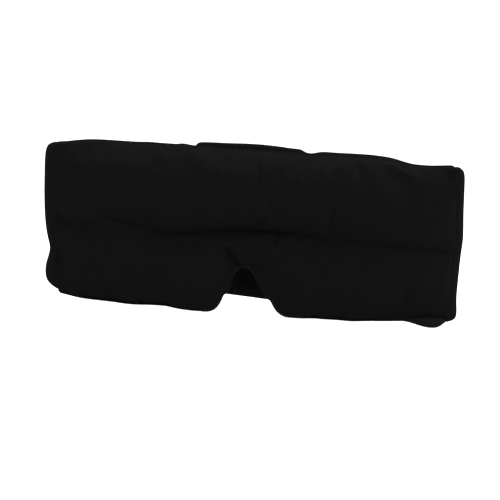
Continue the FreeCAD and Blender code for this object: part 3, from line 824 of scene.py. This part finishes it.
# Heights of the strap's lower and upper edges.
STRAP_FOOT = {
    -1: strap_edge(
        -1,
        [(-10, 6.6), (4, 7.2), (10, 8.1), (20, 8.0), (28, 6.8)],
        [(-100, 2.6), (-60, 3.0), (-30, 6.0), (-12, 9.0), (0, 10.2)],
    ),
    1: strap_edge(
        1,
        [(-10, 4.2), (4, 4.4), (9, 4.8), (20, 6.2), (32, 6.4)],
        [(98, 2.0), (60, 3.2), (0, 7.3), (-40, 9.6)],
    ),
}
STRAP_TOP = {
    -1: strap_edge(
        -1,
        [(-10, 90), (4, 89.1), (12, 88.4), (24, 88.6)],
        [(-100, 89.2), (-60, 89.8), (0, 90.0)],
    ),
    1: strap_edge(
        1,
        [(-10, 91), (4, 91.1), (8, 90.3), (12, 89.7), (30, 89.2)],
        [
            (100, 89.3), (92, 89.4), (88, 89.9), (84, 90.8), (80, 91.8), (76, 92.5), (70, 93.0),
            (64, 93.2), (56, 93.2), (48, 93.0), (40, 93.0), (36.2, 92.8), (33.6, 91.9), (30.5, 91.5),
            (28, 92.0), (25.5, 93.6), (20, 93.7), (14, 94.2), (8, 94.5), (2, 94.7), (-7, 94.6),
            (-16, 94.2), (-25, 94.0), (-30, 93.8), (-35, 93.4),
        ],
    ),
}
FACE_ROWS = 24  # points across each face of the strap
TIP_ROUND, TIP_LENGTH = 2.6, 3.4  # how far the padding is drawn in at the band's tip, and over what length
SEWN_ROUND, SEWN_LENGTH = 0.25, 1.8  # the same where it is sewn
TIP_CORNER = 4  # radius of the rounded corners of the band's tip


def strap_section(foot, top, half_thick):
    """One closed cross-section, outward reach and height: outer face up, then inner face down."""
    z = foot + (top - foot) * cosine_steps(FACE_ROWS)
    edge = np.minimum(z - foot, top - z)
    bulge = half_thick * (0.42 + 0.58 * dome(edge / 5.0)) + 0.5 * dome(edge / 24.0) - 0.3
    brow = np.array([0.2, -0.2]) * half_thick
    height = np.concatenate([z, [top + 0.55] * 2, z[::-1], [foot - 0.55] * 2])
    return np.concatenate([bulge, brow, -bulge[::-1], -brow]), height


def strap_stations(start, end, tip):
    """Positions along a strap: close together at its ends and round its corners."""
    ease_in = np.array([0, 0.35, 0.9, 1.8])
    ease_out = np.array([4.4, 3.0, 1.9, 1.0, 0.4, 0]) if tip else ease_in[::-1]
    inside = np.arange(start + 3.0, end - ease_out[0] - 1.0, 1.9 if end - start < 60 else 2.3)
    return np.concatenate([start + ease_in, inside, end - ease_out])


def end_inset(distance, tip):
    """How much the strap narrows near an end: a sewn end dips, and a tip is rounded."""
    most, length = (TIP_ROUND, TIP_LENGTH) if tip else (SEWN_ROUND, SEWN_LENGTH)
    return most * (1 - dome(distance / length))


def build_strap(name, side, start, end, tip, seed):
    """A closed padded stretch of the strap, from start to end along it."""
    stations = strap_stations(start, end, tip)
    rings, outward = [], []
    for s in stations:
        first, last = s - start, end - s
        squeeze = max(end_inset(first, False), end_inset(last, tip))
        if tip and last < first:
            squeeze *= 0.85
        foot, top = STRAP_FOOT[side](s) + squeeze, STRAP_TOP[side](s) - squeeze
        if tip and last < TIP_CORNER:
            corner = TIP_CORNER - math.sqrt(max(0.0, TIP_CORNER ** 2 - (TIP_CORNER - last) ** 2))
            foot, top = foot + corner * 0.5, top - corner * 0.5
        reach, z = strap_section(foot, top, max(THICKNESS / 2 - 0.35 - squeeze * 0.9, 0.5))
        x, y, out_x, out_y = strap_place(side, s)
        rings.append(as_points(x + out_x * reach, y + out_y * reach, z))
        outward.append((out_x, out_y))
    rows, columns = len(rings), len(rings[0])
    points = np.vstack(rings)
    push = 0.3 * wander(points, 15, seed) + 0.12 * wander(points, 5, seed + 4)
    points[:, :2] += push[:, None] * np.repeat(outward, columns, axis=0)
    faces = grid_faces(rows, columns, wrap=True)
    for base in (0, (rows - 1) * columns):
        far, top = base + columns - 3, base + FACE_ROWS - 1
        faces += [(base + k, base + k + 1, far - k - 1, far - k) for k in range(FACE_ROWS - 1)]
        faces += [(top, top + 1, top + 2, top + 3), (far, far + 1, far + 2, base)]
    middle = rows // 2 * columns
    around = path_lengths(points[middle:middle + columns])
    uvs = np.column_stack([np.repeat(stations, columns), np.tile(around, rows)])
    return subdivide(make_mesh(name, settle(points), faces, JERSEY, uvs))


LINING_MARGIN = 3.2  # from the lining's long edges to the strap's
SEWN_GAP, TIP_GAP = 0.7, 2.6  # from its ends to the strap's


def build_strap_lining(name, side, start, end, tip):
    """The lining: a thin sheet on the strap's inner face, its edges turned under."""
    stations = strap_stations(start + SEWN_GAP, end - (TIP_GAP if tip else SEWN_GAP), tip)
    t = cosine_steps(18)
    layers = []
    for thick in (0, 0.8):
        rings = []
        for s in stations:
            near = min(s - stations[0], stations[-1] - s)
            x, y, out_x, out_y = strap_place(side, s)
            foot, top = STRAP_FOOT[side](s) + LINING_MARGIN, STRAP_TOP[side](s) - LINING_MARGIN
            z = foot + (top - foot) * t
            turned = dome(np.minimum(np.minimum(z - foot, top - z), near + 0.2) / 1.2)
            inward = THICKNESS / 2 - 0.75 + thick * turned
            rings.append(as_points(x - out_x * inward, y - out_y * inward, z))
        layers.append(settle(np.vstack(rings)))
    uvs = np.column_stack([np.repeat(stations, len(t)), np.tile(t * 84, len(stations))])
    return subdivide(closed_sheet(name, layers, (len(stations), len(t)), LINING, uvs))


# ---------------------------------------------------------------- assemble


def finish_piece(obj, body, slot, *nodes):
    """A piece that moves with one body, and the CAD nodes it stands for."""
    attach(obj, body)
    if nodes:
        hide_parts(*nodes)


def bend_piece(obj, side, body_a, body_b, slot, *nodes):
    """A piece round a corner of the loop, with its placement baked into its mesh, and the CAD nodes it stands
    for hidden.
    """
    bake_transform(obj)
    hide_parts(*nodes)


def build_front():
    panel = build_front_panel()
    binding = build_notch_binding(surface_of(panel))
    lining = build_face_lining()
    points, inward = notch_path()
    inset = (points + inward * (BINDING_WIDTH - 0.55))[:, [0, 2]]
    binding_path = on_surface(inset, binding, False, EDGE_FRONT, -0.05)
    binding_row = stitches("binding_stitches", binding_path, (0, -1, 0), pitch=2.0, length=1.4, radius=0.16)
    x = np.linspace(-105, 105, 160)
    lining_path = on_surface(np.column_stack([x, TOP_LINE(x) - 4.4]), lining, True, FACE_Y, 0.0)
    lining_row = stitches("lining_stitches", lining_path, (0, 1, 0), radius=0.2)
    hems = {side: build_hem(side) for side in SIDE_NAME}
    top = build_top_seam()
    for obj in (panel, binding, lining, binding_row, lining_row, top, *hems.values()):
        set_coordinates(obj, settle(coordinates(obj)))
    filling = ("brow_pad", "cheek_pad_left", "cheek_pad_right", "blackout_layer")
    for obj, slot, *nodes in (
        (panel, "cover_fabric", "front_cover", *filling),
        (binding, "binding_tape", "notch_binding"),
        (lining, "lining_fabric", "face_lining"),
        (binding_row, "thread"),
        (lining_row, "thread"),
        (top, "binding_tape", "top_seam_tape"),
        (hems[-1], "cover_fabric", "bottom_hem_left"),
        (hems[1], "cover_fabric", "bottom_hem_right"),
    ):
        finish_piece(obj, "front", slot, *nodes)


def corner_roll(name, side, centre_y, angle, along, trim, radius):
    """A rolled vertical seam outside a corner, at an angle round it and a place along the strap."""
    foot, top = STRAP_FOOT[side](along) + trim, STRAP_TOP[side](along) - trim
    z = np.linspace(foot, top, 60)
    wobble = np.array([ripple(h / 11.0, side * 2.0, centre_y) for h in z])
    reach = CORNER_OUTER - radius * 0.9 + 0.12 * wobble
    path = as_points(side * (CORNER_X + reach * math.sin(angle)), centre_y - reach * math.cos(angle), z)
    thick = radius * dome((np.minimum(z - foot, top - z) + 0.2) / 2.5) * (1 + 0.12 * wobble)
    return seam_tube(name, settle(path), thick)


def build_straps():
    for side, name in SIDE_NAME.items():
        panel, band = f"{name}_side", f"{name}_band"
        _, seam, rear, band_start = strap_lengths(side)
        start = SEAM_ANGLE * MID_RADIUS
        end = band_start + CORNER_X - side * BAND_TIP[side] + 0.9
        panel_wrap = build_strap(f"{panel}_wrap", side, start, seam + SEAM_PRESS, False, 11 + side)
        band_wrap = build_strap(f"{band}_wrap", side, seam - SEAM_PRESS, end, True, 21 + side)
        panel_lining = build_strap_lining(f"{panel}_lining_cloth", side, start, seam, False)
        band_lining = build_strap_lining(f"{band}_lining_cloth", side, seam, end, True)
        for obj, first, last, margin in ((panel_lining, start, seam, 0.7), (band_lining, seam, end, 1.6)):
            height = STRAP_TOP[side](last) - STRAP_FOOT[side](last) - 2 * LINING_MARGIN
        bend_piece(panel_wrap, side, "front", panel, "cover_fabric", f"{panel}_cover", f"{panel}_pad")
        bend_piece(panel_lining, side, "front", panel, "lining_fabric", f"{panel}_lining")
        bend_piece(band_wrap, side, panel, band, "cover_fabric", f"{band}_cover", f"{band}_pad")
        bend_piece(band_lining, side, panel, band, "lining_fabric", f"{band}_lining")
        for end_name, body, centre_y, angle, along, trim, radius in (
            ("front", "front", FRONT_CORNER_Y, SEAM_ANGLE, 2, 0.6, 0.45),
            ("rear", panel, rear_corner_y(side), math.radians(135), rear + 4, 1.6, 0.95),
        ):
            roll = corner_roll(f"{name}_{end_name}_seam_roll", side, centre_y, angle, along, trim, radius)
            finish_piece(roll, body, "cover_fabric", f"{name}_{end_name}_seam")


# ---------------------------------------------------------------- closure, label and pull tab


def rounded_rectangle(low, high, radius, count=9):
    """A closed path in X and Z round a rectangle with rounded corners."""
    left, foot = np.add(low, radius)
    right, top = np.subtract(high, radius)
    path = []
    for x, z, first in ((right, top, 0), (left, top, 90), (left, foot, 180), (right, foot, 270)):
        for angle in np.radians(np.linspace(first, first + 90, count)):
            path.append((x + radius * math.cos(angle), z + radius * math.sin(angle)))
    return np.array(path + path[:1])


def tape_patch(name, low, high, base_y, top_y, pile, material, corner=3.0, step=1.4):
    """A rectangular tape patch, facing from base_y to top_y, with a flat selvedge round its pile."""
    spans = [cosine_blend(max(2, int((b - a) / step)) + 1) * (b - a) + a for a, b in zip(low, high)]
    x, z = round_corners(*np.meshgrid(*spans), low, high, corner)
    edge = distance_to_line(x, z, rounded_rectangle(low, high, corner))
    flat = as_points(x, 0.0, z)
    tufts = (wander(flat, 1.9, 61) + 0.5 * wander(flat, 0.9, 67)).reshape(x.shape)
    body = abs(top_y - base_y) - pile
    rise = body * (0.55 + 0.45 * dome(edge / 0.9)) + pile * ease((edge - 2.2) / 1.2) * (0.72 + 0.26 * tufts)
    way = 1 if top_y > base_y else -1
    layers = [as_points(x, y, z) for y in (base_y + way * rise, base_y)]
    return closed_sheet(name, layers, x.shape, material, flat[:, [0, 2]])


def cosine_blend(count):
    """From 0 to 1, a little closer together at both ends."""
    return 0.6 * np.linspace(0, 1, count) + 0.4 * cosine_steps(count)


def round_corners(x, z, low, high, radius):
    """Grid points near a rectangle's corners drawn in onto its rounded corners."""
    grid = np.stack([x, z], axis=-1)
    middle, straight = np.add(low, high) / 2, np.subtract(high, low) / 2 - radius
    offset = grid - middle
    past = np.clip(np.abs(offset) - straight, 0, None) / radius
    length = np.hypot(past[..., 0], past[..., 1])
    shrink = np.where(length > 0, past.max(axis=-1) / np.maximum(length, 1e-9), 1)[..., None]
    drawn = middle + np.sign(offset) * (straight + radius * past * shrink)
    placed = np.where((past > 0).all(axis=-1)[..., None], drawn, grid)
    return placed[..., 0], placed[..., 1]


# One hook, from its foot to its bent tip: lean, height as a share of the whole, and radius.
HOOK_SHAPE = (
    (0, 0, 0.2), (0, 0.45, 0.17), (0.06, 0.78, 0.15), (0.22, 0.96, 0.14), (0.4, 0.9, 0.12), (0.47, 0.72, 0.08)
)


def hook_field(name, low, high, base_y, tip_y):
    """Rows of small moulded hooks that stand on the hook patch and bend over alternately."""
    sides = 5
    angle = ring_angles(sides)
    points, faces = [], []
    for i, x in enumerate(np.arange(low[0] + 3, high[0] - 2.6, 1.25)):
        lean = 1 if i % 2 else -1
        for z in np.arange(low[1] + 3, high[1] - 2.6, 1.15):
            faces += capped_faces(len(HOOK_SHAPE), sides, start=len(points) * sides)
            for out, up, thick in HOOK_SHAPE:
                middle = (x, base_y + up * (tip_y - base_y), z + lean * out)
                points.append(as_points(np.cos(angle) * thick, 0.0, np.sin(angle) * thick) + middle)
    return make_mesh(name, np.vstack(points), faces, HOOKS)


def flat_of(node):
    """Lowest and highest X and Z of a CAD node."""
    return tuple(tuple(corner[[0, 2]]) for corner in node_box(node))


SELVEDGE = 1.3  # from a patch's edge to the stitches that hold it


def patch_row(name, low, high, corner, obj, otherwise, lift, **thread):
    """Stitches all round a patch, a little inside its edge."""
    ring = rounded_rectangle(np.add(low, SELVEDGE), np.subtract(high, SELVEDGE), corner)
    return stitches(name, on_surface(ring, obj, True, otherwise, lift), (0, 1, 0), **thread)


def build_loop_side():
    low, high = flat_of("loop_patch")
    top = node_box("loop_patch")[1][1] - 0.1
    patch = tape_patch("loop_patch_pile", low, high, BAND_BACK[-1] - 1.4, top, 0.6, LOOP_PILE, step=1.3)
    row = patch_row("loop_patch_stitches", low, high, 2.2, patch, top, 0.02)
    finish_piece(patch, "left_band", "loop_tape", "loop_patch")
    finish_piece(row, "left_band", "thread", "loop_stitches")


def build_hook_side():
    low, high = flat_of("hook_patch")
    tip, base = [corner[1] for corner in node_box("hook_patch")]
    patch = tape_patch("hook_patch_tape", low, high, base + 0.9, tip + 0.75, 0.0, HOOKS, corner=2.0)
    field = hook_field("hook_patch_hooks", low, high, tip + 0.85, tip + 0.05)
    band = bpy.data.objects["right_band_wrap"]
    row = patch_row("hook_patch_stitches", low, high, 1.6, band, BAND_BACK[1], 0.05, radius=0.26)
    finish_piece(patch, "right_band", "hook_tape", "hook_patch")
    finish_piece(field, "right_band", "hook_tape")
    finish_piece(row, "right_band", "thread", "hook_stitches")


def build_label():
    """A small folded satin label, sewn down along its lower edge, with no print on it."""
    low, high = flat_of("care_label")
    inner = BAND_BACK[1] - THICKNESS + 0.2
    v = np.concatenate([[0, 0.6], np.linspace(1.6, 18.4, 15), [19.3, 20]])[:, None]
    u = np.linspace(-7, 7, 13)
    curl = 0.35 * (v / 20) ** 2 + 0.12 * np.cos(u * 0.9) * (v / 20)
    thick = 0.42 * dome(np.minimum(v + 0.1, 20.1 - v))
    x = (low[0] + high[0]) / 2 + u
    layers = [as_points(x, inner - 0.2 - curl - layer * thick, low[1] + v) for layer in (0, 1)]
    label = closed_sheet("blank_care_label", layers, (len(v), len(u)), LABEL, layers[0][:, [0, 2]])
    subdivide(label)
    finish_piece(label, "right_band", "label_cloth", "care_label")


BEND_POINTS, FLAT_POINTS = 9, 12  # of the ribbon's section, round each bend and along each layer


def build_pull_tab():
    """Grosgrain ribbon folded double, rounded where it turns about the band's tip."""
    low, high = node_box("pull_tab")
    middle_y, half = (low[1] + high[1]) / 2, (high[1] - low[1]) / 2
    root, tip = high[0] - half, low[0] + half
    bend = np.radians(np.linspace(-90, 90, BEND_POINTS))
    x = np.linspace(root - 1.2, tip + 1.2, FLAT_POINTS)
    layer = half * (0.86 + 0.14 * np.cos((x - root) * 0.9))
    section = np.column_stack([
        np.concatenate([root + half * np.cos(bend), x, tip - half * np.cos(bend[::-1]), x[::-1]]),
        np.concatenate([half * np.sin(bend), layer, half * np.sin(bend[::-1]), -layer[::-1]]),
    ])
    v = np.concatenate([[0, 0.25, 0.8], np.linspace(2, 26, 18), [27.2, 27.75, 28]])
    narrow = 1 - 0.55 * (1 - dome((np.minimum(v, 28 - v) + 0.12) / 0.9))
    points = as_points(section[:, 0], middle_y + section[:, 1] * narrow[:, None], low[2] + v[:, None])
    width = len(section)
    faces = grid_faces(len(v), width, wrap=True)
    for base in (0, (len(v) - 1) * width):
        faces += cap_faces(base, width, BEND_POINTS, FLAT_POINTS)
    uvs = np.column_stack([np.tile(path_lengths(section), len(v)), np.repeat(v, width)])
    tab = subdivide(make_mesh("pull_tab_ribbon", points, faces, RIBBON, uvs))
    ring = rounded_rectangle((root - 6.6, low[2] + 2), (root - 3.0, high[2] - 2), 1.0, count=4)
    row = stitches("pull_tab_stitches", on_surface(ring, tab, True, middle_y, 0.02), (0, 1, 0), radius=0.2)
    finish_piece(tab, "pull_tab", "ribbon", "pull_tab")
    finish_piece(row, "pull_tab", "thread")


def cap_faces(base, width, bend, inside):
    """Faces that close the end of the folded ribbon, from layer to layer."""
    one = [base + bend - 1 + k for k in range(inside + 2)]
    other = [base + (2 * bend + 2 * inside - k) % width for k in range(inside + 1)]
    other.append(base + bend * 2 + inside - 1)
    faces = [(one[k], one[k + 1], other[k + 1], other[k]) for k in range(inside + 1)]
    faces[0] = (*range(base, base + bend), one[1], other[1])
    faces[-1] = (one[inside], *range(base + bend + inside, base + 2 * bend + inside), other[inside])
    return faces


build_front()
build_straps()
build_loop_side()
build_hook_side()
build_label()
build_pull_tab()


# ---------------------------------------------------------------- stage, light and camera


def build_stage():
    """A pale floor that glows a little, in a white world."""
    bpy.ops.mesh.primitive_plane_add(size=30, location=(0, 0, -0.0002))
    floor = bpy.context.object
    floor.name = "floor"
    white = bpy.data.materials.new("floor_white")
    white.use_nodes = True
    shader = white.node_tree.nodes["Principled BSDF"]
    set_sockets(shader, {"Base Color": (0.3, 0.3, 0.3, 1), "Roughness": 0.9})
    set_sockets(shader, {"Emission Color": (1, 1, 1, 1), "Emission Strength": 1.12})
    floor.data.materials.append(white)
    world = bpy.data.worlds.new("studio")
    bpy.context.scene.world = world
    world.use_nodes = True
    set_sockets(world.node_tree.nodes["Background"], {"Color": (1, 1, 1, 1), "Strength": 1.03})


# Name, place, width and height, and power of each softbox.
SOFTBOXES = (
    ("overhead_softbox", (0, 0.35, 1.4), (1.4, 1.0), 40),
    ("front_softbox", (0, -1.1, 1.1), (1.2, 0.8), 11),
    ("right_softbox", (1.3, -0.2, 0.35), (0.6, 0.8), 10),
    ("left_softbox", (-1.3, -0.2, 0.35), (0.6, 0.8), 2.5),
)


def build_lights():
    for name, place, size, watts in SOFTBOXES:
        light = bpy.data.lights.new(name, "AREA")
        light.shape = "RECTANGLE"
        light.size, light.size_y = size
        light.energy = watts
        made = add_object(name, light)
        made.location = place
        made.rotation_euler = (Vector((0, 0, 0.05)) - Vector(place)).to_track_quat("-Z", "Y").to_euler()


CAMERA_DISTANCE = 1.6  # metres, from the mask's middle
VIEW_WIDTH = 0.2817  # metres across the picture at the front of the mask
ELEVATION, ROLL = math.radians(4.5), math.radians(4.0)
OFF_CENTRE = (0.00045, 0.0090)  # the mask's middle is this far right of and above the picture's


def build_camera():
    camera = add_object("camera", bpy.data.cameras.new("camera"))
    back = Vector((0, -math.cos(ELEVATION), math.sin(ELEVATION)))
    turn = back.to_track_quat("Z", "Y") @ Matrix.Rotation(ROLL, 3, "Z").to_quaternion()
    right, up = turn @ Vector((1, 0, 0)), turn @ Vector((0, 1, 0))
    middle = Vector((0, -0.017, 0.046))
    camera.location = middle + back * CAMERA_DISTANCE - right * OFF_CENTRE[0] - up * OFF_CENTRE[1]
    camera.rotation_mode = "QUATERNION"
    camera.rotation_quaternion = turn
    camera.data.lens = camera.data.sensor_width * CAMERA_DISTANCE / VIEW_WIDTH
    camera.data.clip_start, camera.data.clip_end = 0.05, 100
    bpy.context.scene.camera = camera


build_stage()
build_lights()
build_camera()
bpy.context.scene.view_settings.view_transform = "Standard"
